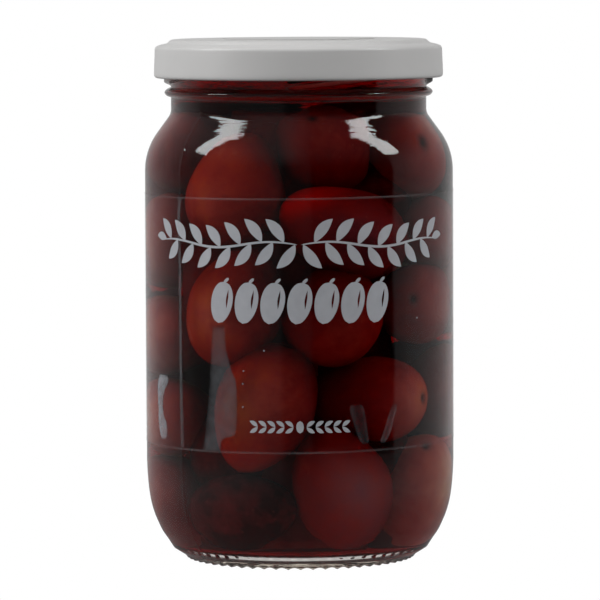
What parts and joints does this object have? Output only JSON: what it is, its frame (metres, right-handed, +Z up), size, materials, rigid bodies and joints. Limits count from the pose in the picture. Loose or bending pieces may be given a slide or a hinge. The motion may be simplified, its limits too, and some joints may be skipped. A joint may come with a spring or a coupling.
{
  "type": "jar of olives",
  "caption": "Round glass jar of whole dark olives in brine, shut with a white twist-off lid and wrapped in a clear printed film.",
  "frame": {"origin": "on the floor below the jar's axis", "axes": "+Z up along the jar's axis, -Y towards the front of the film, +X to the right seen from the front"},
  "size_m": [0.0724, 0.0721, 0.1212],
  "materials": {
    "clear_glass": "clear, with a very slight green tint",
    "white_enamel": "white enamel, semi-gloss",
    "clear_film": "clear film with silver grey print",
    "olive_skin": "dark red brown skin, wet"
  },
  "bodies": {
    "root": {"glass_jar": "clear_glass", "lid": "white_enamel", "label_film": "clear_film", "olives": "olive_skin"}
  },
  "joints": []
}
